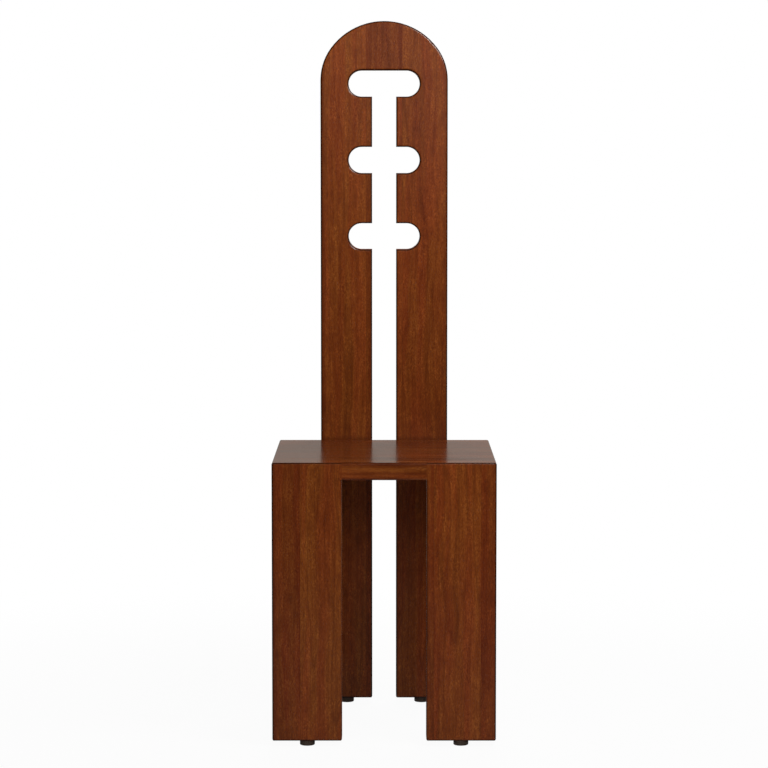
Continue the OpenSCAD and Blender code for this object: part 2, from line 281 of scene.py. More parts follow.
class Nodes:
    """Node tree of one material or world, with one method that adds any node."""

    def __init__(self, owner):
        owner.use_nodes = True
        self.tree = owner.node_tree
        self.tree.nodes.clear()

    def add(self, kind, settings=None, inputs=None, output=0):
        """Adds a node with its settings, then its inputs, and gives the signal of one output."""
        made = self.tree.nodes.new(kind)
        for key, value in (settings or {}).items():
            if key == "stops":
                self.set_stops(made.color_ramp, value)
            else:
                setattr(made, key, value)
        for key, value in (inputs or {}).items():
            if isinstance(value, Signal):
                self.tree.links.new(value.socket, made.inputs[key])
            else:
                made.inputs[key].default_value = value
        return Signal(self, made.outputs[output]) if made.outputs else None

    @staticmethod
    def set_stops(ramp, stops):
        """Gives a colour ramp its stops, each a place and a colour."""
        while len(ramp.elements) < len(stops):
            ramp.elements.new(1.0)
        for element, (place, rgb) in zip(ramp.elements, stops):
            element.position = place
            element.color = (*rgb, 1.0)

    def noise(self, vector, width, detail=2.0, roughness=0.5):
        """Noise from 0 to 1 whose blobs are about width across."""
        inputs = {"Vector": vector, "Scale": 1.0 / width, "Detail": detail, "Roughness": roughness}
        return self.add("ShaderNodeTexNoise", {}, inputs)

    def rise(self, value, low, high):
        """Smooth step: 0 below low and 1 above high."""
        settings = {"interpolation_type": "SMOOTHSTEP"}
        return self.add("ShaderNodeMapRange", settings, {0: value, 1: low, 2: high})

    def mix(self, mask, below, above, blend="MIX"):
        """Colour below where mask is 0, and above where it is 1."""
        settings = {"data_type": "RGBA", "blend_type": blend}
        return self.add("ShaderNodeMix", settings, {0: mask, 6: below, 7: above}, output=2)

    def vector(self, operation, first, second):
        """Vector Math node on two vectors."""
        return self.add("ShaderNodeVectorMath", {"operation": operation}, {0: first, 1: second})

    def axis(self, vector, name):
        """One of a vector's three numbers: X, Y or Z."""
        return self.add("ShaderNodeSeparateXYZ", {}, {0: vector}, output=name)

    def bump(self, height, depth, strength=1.0):
        """Normal of a surface that is depth higher where height is 1 than where it is 0."""
        return self.add("ShaderNodeBump", {}, {"Height": height, "Distance": depth, "Strength": strength})

    def finish(self, **sockets):
        """Principled surface. An underscore in a name stands for a space."""
        inputs = {key.replace("_", " "): value for key, value in sockets.items()}
        surface = self.add("ShaderNodeBsdfPrincipled", {}, inputs)
        self.add("ShaderNodeOutputMaterial", {}, {"Surface": surface})


def opaque(rgb):
    """Colour with its alpha of 1."""
    return (*rgb, 1.0)


class LacqueredBoard:
    """Reddish hardwood under satin lacquer, for a board whose grain runs along X or Z.

    The grain is a solid pattern: rings round a pith outside the board, drawn out along the grain. The
    steps that paint takes after it change body, which is the colour so far.
    """

    def __init__(self, name, board, wood, low, high, along):
        self.board = board
        self.wood = wood
        self.low = low
        self.high = high
        self.along = along
        self.material = bpy.data.materials.new(name)
        self.nodes = Nodes(self.material)
        nodes = self.nodes
        self.place = nodes.add("ShaderNodeTexCoord", {}, {}, output="Object")
        self.facing = nodes.add("ShaderNodeTexCoord", {}, {}, output="Normal")
        self.log = self.place_in_log()
        self.layers = {key: self.layer(kind) for key, kind in GRAIN.items()}

        # slant is 1 on the broad faces and 0 on the narrow sides, and end is 1 on the end grain
        across = nodes.axis(self.facing, "Z" if along == "X" else "Y")
        self.slant = across * across
        self.broad = nodes.rise(self.slant, 0.1, 0.5)
        self.end = nodes.rise(abs(nodes.axis(self.facing, along)), 0.6, 0.95)

        # Open pores are dark dashes on the faces, about 14 times as long as wide, and dots in the end grain
        specks = nodes.noise(self.drawn_out(1 / 0.07), wood.pore, detail=1.0)
        self.pores = nodes.rise(specks, 0.62, 0.72)
        self.body = self.grain_colour()

    def place_in_log(self):
        """Place in the log, whose fibres run along Z and stray a little from the straight.

        Each board is sawn from another place in the log: the pith lies beside it and behind it.
        """
        nodes = self.nodes
        dice = random.Random(self.board.cut)
        beside = dice.choice((-1, 1)) * dice.uniform(0.16, 0.30)
        pith = (beside, dice.uniform(0.05, 0.12), dice.uniform(0, 9))
        turn = (0.0, math.pi / 2, 0.0) if self.along == "X" else (0.0, 0.0, 0.0)
        inputs = {"Vector": self.place, "Rotation": turn, "Location": pith}
        straight = nodes.add("ShaderNodeMapping", {}, inputs)
        inputs = {"Vector": straight, "Scale": 5.5, "Detail": 1.0}
        stray = nodes.add("ShaderNodeTexNoise", {}, inputs, output="Color")
        stray = nodes.vector("SUBTRACT", stray, (0.5, 0.5, 0.5))
        stray = nodes.vector("MULTIPLY", stray, (2 * self.wood.wander, 2 * self.wood.wander, 0.0))
        return nodes.vector("ADD", straight, stray)

    def drawn_out(self, stretch):
        """Place in the log for a pattern that is drawn out along the grain, stretch times."""
        return self.nodes.vector("MULTIPLY", self.log, (1.0, 1.0, 1.0 / stretch))

    def layer(self, kind):
        """One layer of the grain, centred on 0."""
        width = kind.share * getattr(self.wood, kind.setting)
        noise = self.nodes.noise(self.drawn_out(kind.stretch), width, kind.detail, kind.roughness)
        centred = noise - 0.5
        if kind.figure > 0.0:
            centred = (1.0 - kind.figure + kind.figure * self.board.figure) * centred
        return centred

    def rings(self):
        """Growth rings, centred on 0."""
        settings = {"wave_type": "RINGS", "rings_direction": "Z", "wave_profile": "SAW"}
        inputs = {
            "Vector": self.drawn_out(30), "Scale": math.pi / 10 / self.wood.ring,
            "Distortion": 2.2, "Detail": 2.0, "Detail Scale": 1.3}
        return self.nodes.add("ShaderNodeTexWave", settings, inputs, output="Fac") - 0.5

    def grain_colour(self):
        """Colour of the wood, from the rings and the layers of the grain."""
        nodes = self.nodes
        wood = self.wood
        shade = 0.5 + 0.10 * self.rings()
        for key, kind in GRAIN.items():
            if kind.weight > 0.0:
                shade = shade + kind.weight * self.layers[key]
        blotched = nodes.rise(self.layers["blotches"], -0.02, 0.12)
        shade = shade + 0.5 * blotched * self.layers["speckles"]
        stops = ((0.15, wood.dark), (0.5, wood.main), (0.88, wood.light))
        ramp = nodes.add("ShaderNodeValToRGB", {"stops": stops}, {0: shade}, output="Color")

        brightness, warmth = self.board[:2]
        red = brightness * (1 + warmth)
        green = brightness * (1 - warmth)
        reddish = opaque((red, 0.90 * green, 0.95 * brightness))
        golden = opaque((red, 1.10 * green, brightness))
        tint = nodes.mix(nodes.rise(self.layers["tints"], -0.15, 0.15), reddish, golden)
        return nodes.mix(1.0, ramp, tint, "MULTIPLY")

    def stain(self, mask, rgb):
        """Moves the colour towards rgb, all the way where mask is 1."""
        self.body = self.nodes.mix(mask, self.body, opaque(rgb))

    def lighten_sides(self):
        """Lightens the narrow sides, which are cut along the rings."""
        share = 1.0 + self.wood.side
        lighter = self.nodes.mix(1.0, self.body, opaque((share, share, share)), "MULTIPLY")
        self.body = self.nodes.mix(1.0 - self.broad, self.body, lighter)

    def mark_grain(self):
        """Adds dark growth lines, sparse smudges, the pores, and the end grain, which drinks the finish."""
        line = 1.0 - self.nodes.rise(abs(self.layers["contours"]), 0.004, 0.028)
        smudge = self.nodes.rise(self.layers["blotches"], 0.10, 0.26)
        for mask in (0.30 * line, 0.35 * smudge, 0.45 * self.pores, 0.35 * self.end):
            self.stain(mask, self.wood.dark)

    def stain_seams(self):
        """Darkens the board a little along its two sides, where the glue lines are."""
        side = "Y" if self.along == "X" else "X"
        number = "XYZ".index(side)
        middle = (self.low[number] + self.high[number]) / 2
        half = (self.high[number] - self.low[number]) / 2
        inward = half - abs(self.nodes.axis(self.place, side) - middle)
        seam = 1.0 - self.nodes.rise(inward, 0.0, self.wood.joint)
        self.stain(0.5 * seam, self.wood.dark)

    def shade_outer_side(self, strength):
        """Paints shade on the board's faces along the side that lies farther from the chair's middle."""
        inward = max(abs(self.low.x), abs(self.high.x)) - abs(self.nodes.axis(self.place, "X"))
        # Painted shade along the outer side, in place of the light falling off there
        rim = 1.0 - self.nodes.rise(inward, 0.0, self.wood.rim)
        self.stain(strength * self.broad * rim, self.wood.dark)

    def shade_arrises(self):
        """Darkens the rounded arrises with painted shade, deeper at the two ends of an upright board."""
        nodes = self.nodes
        darkness = self.board.arris
        if self.along == "Z":
            height = nodes.axis(self.place, "Z")
            inside = nodes.rise(height - self.low.z, 0.0, self.wood.sole)
            inside = inside * nodes.rise(self.high.z - height, 0.0, self.wood.sole)
            darkness = darkness + (END_ARRIS_SHADE - darkness) * (1.0 - inside)
        # Painted shade on the rounded arrises, standing in for the light that their rounding turns away
        # from
        arris = nodes.rise(self.slant, 0.0, 0.05) * (1.0 - nodes.rise(self.slant, 0.65, 1.0))
        self.stain(darkness * arris, self.wood.wear_and_arris_shade)

    def shade_crease(self, seat_top):
        """Paints shade on the front of the back just over the seat, where the seat blocks light."""
        nodes = self.nodes
        # Painted shade in the corner where the seat meets the back
        height = nodes.axis(self.place, "Z") - seat_top
        front = nodes.rise(-1.0 * nodes.axis(self.facing, "Y"), 0.5, 0.9)
        corner = nodes.rise(height, -1 * MM, 0.0) * (1.0 - nodes.rise(height, 0.0, self.wood.crease_shade))
        self.stain(0.5 * corner * front, self.wood.dark)

    def lacquer(self, matt):
        """Closes the material with its gloss and relief. matt is how much rougher the end grain is."""
        nodes = self.nodes
        roughness = self.wood.gloss + 0.08 * self.layers["ribbons"] + 0.12 * self.pores
        if matt > 0.0:
            roughness = roughness + matt * self.end
        ripple = nodes.noise(self.place, 3.5 * MM, detail=1.0)
        relief = 0.4 * self.layers["fibres"] - 0.65 * self.pores + 0.2 * ripple
        relief = relief * (1.0 - 0.8 * self.end)
        nodes.finish(
            Base_Color=self.body,
            Roughness=roughness,
            IOR=1.45,
            Normal=nodes.bump(relief, self.wood.pore_depth, 0.5))

    def paint(self, outer, seat_top):
        """Finishes the material and gives it.

        outer is how dark the painted shade is along the outer side of a slab. seat_top is for a board of
        the back: the height at which the seat meets it, just over which shade is painted. The end grain of
        these boards is left matt.
        """
        self.lighten_sides()
        self.mark_grain()
        self.stain_seams()
        if outer > 0.0:
            self.shade_outer_side(outer)
        self.shade_arrises()
        if seat_top is None:
            self.lacquer(matt=0.0)
        else:
            self.shade_crease(seat_top)
            self.lacquer(self.wood.matt)
        return self.material


def plain_wood(name, rgb):
    """Pale close-grained wood, bare, with its grain along Y."""
    material = bpy.data.materials.new(name)
    nodes = Nodes(material)
    place = nodes.add("ShaderNodeTexCoord", {}, {}, output="Object")
    grain = nodes.vector("MULTIPLY", place, (1.0, 0.06, 1.0))
    fleck = nodes.noise(grain, 1.2 * MM, detail=3.0)
    dark = tuple(0.62 * part for part in rgb)
    body = nodes.mix(nodes.rise(fleck, 0.35, 0.7), opaque(dark), opaque(rgb))
    nodes.finish(Base_Color=body, Roughness=0.55 + 0.1 * fleck, Normal=nodes.bump(fleck, 0.05 * MM, 0.5))
    return material


def metal(name, rgb, roughness, mark):
    """Plated or turned metal with fine marks, mark wide, from the tool."""
    material = bpy.data.materials.new(name)
    nodes = Nodes(material)
    place = nodes.add("ShaderNodeTexCoord", {}, {}, output="Object")
    turned = nodes.vector("MULTIPLY", place, (0.25, 0.25, 1.0))
    marks = nodes.noise(turned, mark, detail=3.0)
    haze = nodes.noise(place, 14 * mark, detail=2.0)
    dull = tuple(0.8 * part for part in rgb)
    body = nodes.mix(haze, opaque(rgb), opaque(dull))
    nodes.finish(
        Base_Color=body,
        Metallic=1.0,
        Roughness=roughness + 0.12 * (marks - 0.5) + 0.1 * (haze - 0.5),
        Normal=nodes.bump(marks, 0.01 * MM, 0.6))
    return material


def moulded_nylon(name, rgb):
    """Black nylon with the fine texture of its mould, greyer where it is scuffed."""
    material = bpy.data.materials.new(name)
    nodes = Nodes(material)
    place = nodes.add("ShaderNodeTexCoord", {}, {}, output="Object")
    texture = nodes.noise(place, 0.35 * MM, detail=2.0)
    scuffs = nodes.rise(nodes.noise(place, 4 * MM, detail=4.0, roughness=0.7), 0.55, 0.8)
    # Lighter colour of the scuffed, worn nylon
    wear_and_arris_shade = tuple(2.6 * part for part in rgb)
    body = nodes.mix(0.5 * scuffs, opaque(rgb), opaque(wear_and_arris_shade))
    nodes.finish(
        Base_Color=body,
        Roughness=0.48 + 0.2 * scuffs,
        Normal=nodes.bump(texture, 0.03 * MM, 0.5))
    return material


def dress(node, material):
    """Gives a CAD node its finish, through its object's material slot."""
    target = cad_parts[node]
    if not target.material_slots:
        target.data.materials.append(None)
    for slot in target.material_slots:
        slot.link = "OBJECT"
        slot.material = material


def dress_boards(boards, wood, along, seat_top=None):
    """Finishes boards, each with its own look and its own place in the log."""
    for node, board in boards.items():
        low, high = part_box(node)
        finish = LacqueredBoard("wood_" + node, board, wood, low, high, along)
        dress(node, finish.paint(OUTER_SIDE_SHADE.get(node, 0.0), seat_top))


def add_piece(name, mesh, material, slot, body, *nodes):
    """Links a finished mesh that stands for CAD nodes and rides on their body."""
    mesh.materials.append(material)
    mesh.name = name
    piece = bpy.data.objects.new(name, mesh)
    bpy.context.scene.collection.objects.link(piece)
    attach(piece, body)
    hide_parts(*nodes)


def to_mesh(bm, name, smooth=30.0):
    """Welds a bmesh, turns its faces outwards and frees it. Edges over smooth degrees stay sharp."""
    bmesh.ops.remove_doubles(bm, verts=bm.verts, dist=WELD)
    bmesh.ops.recalc_face_normals(bm, faces=bm.faces)
    for edge in bm.edges:
        edge.smooth = edge.calc_face_angle(0.0) < math.radians(smooth)
    for face in bm.faces:
        face.smooth = True
    mesh = bpy.data.meshes.new(name)
    bm.to_mesh(mesh)
    bm.free()
    return mesh


def turn_profile(bm, profile, steps=64):
    """Adds a solid of revolution about Z. The profile runs from axis to axis, as radius and height."""
    points = [bm.verts.new((radius, 0.0, height)) for radius, height in profile]
    edges = [bm.edges.new(pair) for pair in zip(points, points[1:])]
    bmesh.ops.spin(
        bm, geom=points + edges, cent=(0, 0, 0), axis=(0, 0, 1), dvec=(0, 0, 0),
        angle=math.tau, steps=steps, use_merge=True)
    bmesh.ops.remove_doubles(bm, verts=bm.verts, dist=WELD)


def arc(centre, radius, start, end, steps=6):
    """Points of an arc between two angles in degrees, as radius and height."""
    turns = [math.radians(start + (end - start) * i / steps) for i in range(steps + 1)]
    return [(centre[0] + radius * math.cos(t), centre[1] + radius * math.sin(t)) for t in turns]


def add_thread(bm, core, crest, pitch, low, high, land=0.12, steps=28):
    """Adds a threaded rod about Z from low to high. land is the crest's width, as a share of the pitch."""
    coil = bmesh.new()
    root = 0.12
    middle = (1.0 + root) / 2
    profile = (
        (core, 0.0), (core, root), (crest, middle - land / 2), (crest, middle + land / 2),
        (core, 1.0))
    points = [coil.verts.new((radius, 0.0, low - pitch + share * pitch)) for radius, share in profile]
    edges = [coil.edges.new(pair) for pair in zip(points, points[1:])]
    turns = math.ceil((high - low) / pitch) + 2
    bmesh.ops.spin(
        coil, geom=points + edges, cent=(0, 0, 0), axis=(0, 0, 1), dvec=(0, 0, pitch / steps),
        angle=math.tau * turns, steps=steps * turns)
    bmesh.ops.remove_doubles(coil, verts=coil.verts, dist=WELD)
    for height, below in ((low, True), (high, False)):
        bmesh.ops.bisect_plane(
            coil, geom=coil.verts[:] + coil.edges[:] + coil.faces[:], dist=WELD,
            plane_co=(0, 0, height), plane_no=(0, 0, 1), clear_inner=below, clear_outer=not below)
        rim = [edge for edge in coil.edges if edge.is_boundary
               and all(abs(vert.co.z - height) < WELD for vert in edge.verts)]
        bmesh.ops.holes_fill(coil, edges=rim, sides=0)
    part = bpy.data.meshes.new("thread")
    coil.to_mesh(part)
    coil.free()
    bm.from_mesh(part)
    bpy.data.meshes.remove(part)


def solids_of(node):
    """Lowest and highest corner of each separate solid in a CAD node."""
    bm = bmesh.new()
    bm.from_mesh(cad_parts[node].data)
    bmesh.ops.remove_doubles(bm, verts=bm.verts, dist=WELD)
    waiting = set(bm.verts)
    found = []
    while waiting:
        reached = [waiting.pop()]
        points = []
        while reached:
            vert = reached.pop()
            points.append(vert.co.copy())
            near = {edge.other_vert(vert) for edge in vert.link_edges} & waiting
            waiting -= near
            reached.extend(near)
        low = Vector(map(min, zip(*points)))
        high = Vector(map(max, zip(*points)))
        found.append((low, high))
    bm.free()
    return sorted(found, key=lambda box: tuple(box[0]))


def repeat(mesh, places, name):
    """One mesh made of a copy of mesh at each place, given as a matrix."""
    bm = bmesh.new()
    for place in places:
        copy = mesh.copy()
        copy.transform(place)
        bm.from_mesh(copy)
        bpy.data.meshes.remove(copy)
    bpy.data.meshes.remove(mesh)
    return to_mesh(bm, name)


def cut(mesh, tool):
    """What is left of mesh after the closed mesh tool is taken from it."""
    target = bpy.data.objects.new("target", mesh)
    cutter = bpy.data.objects.new("cutter", tool)
    for part in (target, cutter):
        bpy.context.scene.collection.objects.link(part)
    boolean = target.modifiers.new("cut", "BOOLEAN")
    boolean.object = cutter
    boolean.solver = "EXACT"
    graph = bpy.context.evaluated_depsgraph_get()
    left = bpy.data.meshes.new_from_object(target.evaluated_get(graph))
    for part in (target, cutter):
        bpy.data.objects.remove(part)
    bpy.data.meshes.remove(mesh)
    bpy.data.meshes.remove(tool)
    return left


def screw_mesh(size, pitch):
    """Countersunk wood screw along +Z, its head's face at the origin, as large as a CAD screw."""
    head_r = min(size) / 2
    full = max(size)
    shank_r = head_r / 2
    core_r = 0.68 * shank_r
    head_h = head_r - shank_r
    plain = 0.42 * full
    tip = 5 * MM
    rim = 0.35 * MM
    bm = bmesh.new()
    turn_profile(bm, [
        (0, 0), (head_r - rim, 0), (head_r, rim), (shank_r + 0.3 * MM, head_h - 0.2 * MM),
        (shank_r, head_h + 0.4 * MM), (shank_r, plain), (core_r, plain + 0.8 * MM), (core_r, full - tip),
        (0.3 * core_r, full - 0.6 * MM), (0, full)], steps=40)
    body = to_mesh(bm, "screw")

    # The recess is cut by two crossed blades that taper towards the point and stand out of the head's face
    blade_h = 2.6 * MM
    blade_z = 0.9 * MM
    slimness = 0.26
    cross = bmesh.new()
    for turn in (0, 90):
        blade = bmesh.ops.create_cone(
            cross, cap_ends=True, segments=4, radius1=0.78 * head_r, radius2=0.3 * head_r, depth=blade_h,
            matrix=Matrix.Rotation(math.radians(45), 4, "Z"))["verts"]
        turned = Matrix.Rotation(math.radians(turn), 3, "Z")
        bmesh.ops.scale(cross, vec=(1.0, slimness, 1.0), verts=blade)
        bmesh.ops.rotate(cross, cent=(0, 0, 0), matrix=turned, verts=blade)
        bmesh.ops.translate(cross, vec=(0, 0, blade_z), verts=blade)
    body = cut(body, to_mesh(cross, "cross"))
    bm = bmesh.new()
    bm.from_mesh(body)
    bpy.data.meshes.remove(body)
    add_thread(bm, 0.9 * core_r, shank_r, pitch, plain + 0.5 * MM, full - tip, land=0.05, steps=20)
    return to_mesh(bm, "screw")


def screw_place(low, high):
    """Matrix that sets a screw where a CAD screw lies. Its head is low, or nearer the chair's middle."""
    centre = (low + high) / 2
    if high.z - low.z > high.y - low.y:
        return Matrix.Translation((centre.x, centre.y, low.z))
    backwards = centre.y > 0
    head_y = low.y if backwards else high.y
    turn = Matrix.Rotation(math.radians(-90 if backwards else 90), 4, "X")
    return Matrix.Translation((centre.x, head_y, centre.z)) @ turn


def dowel_mesh(size, flutes):
    """Fluted dowel along Y with chamfered ends, centred on the origin."""
    radius = size.z / 2
    half = size.y / 2
    chamfer = 1.2 * MM
    flute = 0.3 * MM
    bm = bmesh.new()
    turn_profile(bm, [
        (0, -half), (radius - chamfer, -half), (radius, chamfer - half), (radius, half - chamfer),
        (radius - chamfer, half), (0, half)], steps=4 * flutes)
    for vert in bm.verts:
        phase = math.atan2(vert.co.y, vert.co.x) * flutes
        if math.cos(phase) > 0.5 and vert.co.xy.length > radius - 0.1 * MM:
            vert.co.xy *= 1 - flute / radius
    bmesh.ops.rotate(bm, cent=(0, 0, 0), matrix=Matrix.Rotation(math.radians(90), 3, "X"), verts=bm.verts)
    return to_mesh(bm, "dowel")


def foot_base_mesh(low, high, foot):
    """Moulded base: dished sole, round lower edge, a parting line, and the socket of the swivel head."""
    radius = (high.x - low.x) / 2
    top = high.z
    corner = 1.5 * MM
    lip = 0.5 * MM
    groove = 0.18 * MM
    seam = 0.62 * top
    mouth_r = 4.3 * MM
    socket_r = 6.3 * MM
    socket_low = 2.5 * MM
    socket_high = 5.1 * MM
    profile = [(0, foot.dish), (0.68 * radius, foot.dish), (0.72 * radius, 0.12 * MM), (0.76 * radius, 0)]
    profile += arc((radius - corner, corner), corner, -90, 0)
    profile += [(radius, seam - groove), (radius - groove, seam), (radius, seam + groove)]
    profile += arc((radius - lip, top - lip), lip, 0, 90, steps=4)
    profile += [
        (mouth_r + 0.6 * MM, top), (mouth_r, top - lip), (mouth_r, socket_high), (socket_r, socket_high),
        (socket_r, socket_low), (0, socket_low)]
    bm = bmesh.new()
    turn_profile(bm, profile, steps=72)
    centre = (low + high) / 2
    bmesh.ops.translate(bm, vec=(centre.x, centre.y, 0), verts=bm.verts)
    return to_mesh(bm, "foot_base")


def foot_stud_mesh(low, high, foot):
    """Steel stud: swivel head, neck, six-sided collar with chamfered corners, and thread."""
    crest = 4.0 * MM
    core = crest - foot.thread_depth
    rim = 0.3 * MM
    head_r = 6.0 * MM
    head_top = low.z + 2.4 * MM
    collar_r = (high.y - low.y) / math.sqrt(3)
    collar_low = 9.4 * MM
    collar_high = 12.4 * MM
    shoulder = collar_high + 0.6 * MM
    tip = 0.9 * MM
    bm = bmesh.new()
    turn_profile(bm, [
        (0, low.z), (head_r - rim, low.z), (head_r, low.z + rim), (head_r, head_top - rim),
        (head_r - rim, head_top), (crest + rim, head_top), (crest, head_top + rim),
        (crest, collar_high + 0.2 * MM), (core, shoulder), (0, shoulder)], steps=48)
    collar = bmesh.ops.create_cone(
        bm, cap_ends=True, segments=6, radius1=collar_r, radius2=collar_r, depth=collar_high - collar_low,
        matrix=Matrix.Translation((0, 0, (collar_low + collar_high) / 2)))
    edges = list({edge for vert in collar["verts"] for edge in vert.link_edges})
    bmesh.ops.bevel(bm, geom=edges, affect="EDGES", offset=0.35 * MM, segments=2, profile=0.5, material=-1)
    add_thread(bm, core, crest, foot.pitch, collar_high + rim, high.z - tip)
    turn_profile(bm, [
        (0, high.z - 2 * tip), (core, high.z - 2 * tip), (core, high.z - rim), (core - rim, high.z),
        (0, high.z)], steps=48)
    centre = (low + high) / 2
    bmesh.ops.translate(bm, vec=(centre.x, centre.y, 0), verts=bm.verts)
    return to_mesh(bm, "foot_stud")


def foot_insert_mesh(low, high):
    """Brass insert: flange, barbed outside and a chamfered bore."""
    flange_r = (high.x - low.x) / 2
    wall_r = 6.0 * MM
    bore_r = 4.06 * MM
    flange_top = low.z + 1.5 * MM
    front = 0.3 * MM
    back = 0.2 * MM
    barb = 0.5 * MM
    barbs = 4
    step = (high.z - 1.2 * MM - flange_top) / barbs
    mouth = 0.5 * MM
    end = 0.4 * MM
    profile = [
        (bore_r + mouth, low.z), (flange_r - front, low.z), (flange_r, low.z + front),
        (flange_r, flange_top - back), (flange_r - back, flange_top)]
    for i in range(barbs):
        height = flange_top + i * step
        profile += [(wall_r - barb, height), (wall_r, height + 0.25 * step), (wall_r, height + 0.4 * step)]
    profile += [
        (wall_r - 0.6 * MM, high.z), (bore_r + end, high.z), (bore_r, high.z - end),
        (bore_r, low.z + mouth)]
    profile.append(profile[0])
    bm = bmesh.new()
    turn_profile(bm, profile, steps=64)
    centre = (low + high) / 2
    bmesh.ops.translate(bm, vec=(centre.x, centre.y, 0), verts=bm.verts)
    return to_mesh(bm, "foot_insert")


class CHAIR_OT_finish_back(Operator):
    """Finish the boards of the back panel"""

    bl_idname = "chair.finish_back"
    bl_label = "Back Panel"

    def execute(self, context):
        seat_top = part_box("seat_board_5")[1].z
        dress_boards(BACK_BOARDS, context.scene.chair_wood, "Z", seat_top)
        return {"FINISHED"}


class CHAIR_OT_finish_seat(Operator):
    """Finish the boards of the seat"""

    bl_idname = "chair.finish_seat"
    bl_label = "Seat"

    def execute(self, context):
        dress_boards(SEAT_BOARDS, context.scene.chair_wood, "X")
        return {"FINISHED"}


class CHAIR_OT_finish_legs(Operator):
    """Finish the staves of the two front legs"""

    bl_idname = "chair.finish_legs"
    bl_label = "Front Legs"

    def execute(self, context):
        dress_boards(LEG_STAVES, context.scene.chair_wood, "Z")
        return {"FINISHED"}


class CHAIR_OT_finish_blocks(Operator):
    """Finish the cleat and the corner blocks under the seat"""

    bl_idname = "chair.finish_blocks"
    bl_label = "Cleat and Blocks"

    def execute(self, context):
        dress_boards(HIDDEN_BLOCKS, context.scene.chair_wood, "X")
        return {"FINISHED"}


class CHAIR_OT_make_dowels(Operator):
    """Make the fluted dowels between the seat and the slabs"""

    bl_idname = "chair.make_dowels"
    bl_label = "Dowels"

    def execute(self, context):
        foot = context.scene.chair_foot
        material = plain_wood("beech", foot.beech)
        for node in ("left_leg_dowels", "right_leg_dowels", "back_dowels"):
            boxes = solids_of(node)
            size = boxes[0][1] - boxes[0][0]
            places = [Matrix.Translation((low + high) / 2) for low, high in boxes]
            mesh = repeat(dowel_mesh(size, foot.flutes), places, "fluted_" + node)
            add_piece("fluted_" + node, mesh, material, "dowel_wood", "root", node)
        return {"FINISHED"}


class CHAIR_OT_make_screws(Operator):
    """Make the countersunk screws of the cleat and the corner blocks"""

    bl_idname = "chair.make_screws"
    bl_label = "Screws"

    def execute(self, context):
        foot = context.scene.chair_foot
        material = metal("screw_zinc", foot.zinc, 0.34, 0.3 * MM)
        for node in ("cleat_screws", "left_block_screws", "right_block_screws"):
            boxes = solids_of(node)
            size = boxes[0][1] - boxes[0][0]
            places = [screw_place(low, high) for low, high in boxes]
            mesh = repeat(screw_mesh(size, foot.screw_pitch), places, "threaded_" + node)
            add_piece("threaded_" + node, mesh, material, "screw_steel", "root", node)
        return {"FINISHED"}


class CHAIR_OT_make_feet(Operator):
    """Make the base, the threaded stud and the insert of each levelling foot"""

    bl_idname = "chair.make_feet"
    bl_label = "Levelling Feet"

    def execute(self, context):
        foot = context.scene.chair_foot
        nylon = moulded_nylon("black_nylon", foot.nylon)
        steel = metal("stud_zinc", foot.zinc, 0.28, 0.25 * MM)
        brass = metal("turned_brass", foot.brass, 0.3, 0.25 * MM)
        for name in FEET:
            base, stud, insert = (name + "_foot_" + part for part in ("base", "stud", "insert"))
            add_piece(name + "_glide", foot_base_mesh(*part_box(base), foot), nylon,
                      "foot_plastic", name + "_foot", base)
            add_piece(name + "_threaded_stud", foot_stud_mesh(*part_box(stud), foot), steel,
                      "stud_steel", name + "_stud", stud)
            add_piece(name + "_brass_insert", foot_insert_mesh(*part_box(insert)), brass,
                      "insert_brass", "root", insert)
        return {"FINISHED"}


def floor_material(stage):
    """Pale floor. The camera sees it nearly white, and it keeps the chair's shadow."""
    material = bpy.data.materials.new("pale_floor")
    nodes = Nodes(material)
    place = nodes.add("ShaderNodeTexCoord", {}, {}, output="Object")
    away = nodes.add("ShaderNodeVectorMath", {"operation": "LENGTH"}, {0: place}, output="Value")
    camera = nodes.add("ShaderNodeLightPath", {}, {}, output="Is Camera Ray")
    gloss = nodes.add("ShaderNodeLightPath", {}, {}, output="Is Glossy Ray")

    # From half a metre out the floor turns quite white, so that its edge doesn't show
    edge = nodes.rise(away, 0.5, 0.9 * stage.floor_radius)
    glow = stage.floor_glow + (1.0 - stage.floor_glow) * edge
    matt = nodes.add("ShaderNodeBsdfDiffuse", {}, {"Color": opaque(stage.floor_colour)})
    white = nodes.add("ShaderNodeEmission", {}, {"Strength": camera + stage.floor_gloss * gloss})
    surface = nodes.add("ShaderNodeMixShader", {}, {0: camera * glow + gloss, 1: matt, 2: white})
    nodes.add("ShaderNodeOutputMaterial", {}, {"Surface": surface})
    return material


def add_floor(stage):
    """Round floor in four quarters. Each quarter goes down with the foot that stands on it."""
    material = floor_material(stage)
    for name in FEET:
        low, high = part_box(name + "_foot_base")
        centre = (low + high) / 2
        bm = bmesh.new()
        bmesh.ops.create_circle(bm, cap_ends=True, segments=96, radius=stage.floor_radius)
        for axis in (0, 1):
            outward = Vector((0, 0, 0))
            outward[axis] = math.copysign(1, centre[axis])
            bmesh.ops.bisect_plane(
                bm, geom=bm.verts[:] + bm.edges[:] + bm.faces[:], dist=WELD,
                plane_co=(0, 0, 0), plane_no=outward, clear_inner=True)
        mesh = bpy.data.meshes.new("floor_" + name)
        bm.to_mesh(mesh)
        bm.free()
        mesh.materials.append(material)
        quarter = bpy.data.objects.new("floor_" + name, mesh)
        bpy.context.scene.collection.objects.link(quarter)
        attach(quarter, name + "_foot")


def add_lamp(name, power):
    """Soft square lamp that the camera doesn't see."""
    lamp = LAMPS[name]
    light = bpy.data.lights.new(name, "AREA")
    light.shape = "RECTANGLE"
    light.size, light.size_y = lamp.size
    light.energy = power
    holder = bpy.data.objects.new(name, light)
    bpy.context.scene.collection.objects.link(holder)
    holder.location = lamp.place
    holder.visible_camera = False
    holder.visible_glossy = lamp.in_gloss
    towards = Vector(lamp.target) - Vector(lamp.place)
    holder.rotation_euler = towards.to_track_quat("-Z", "Y").to_euler()


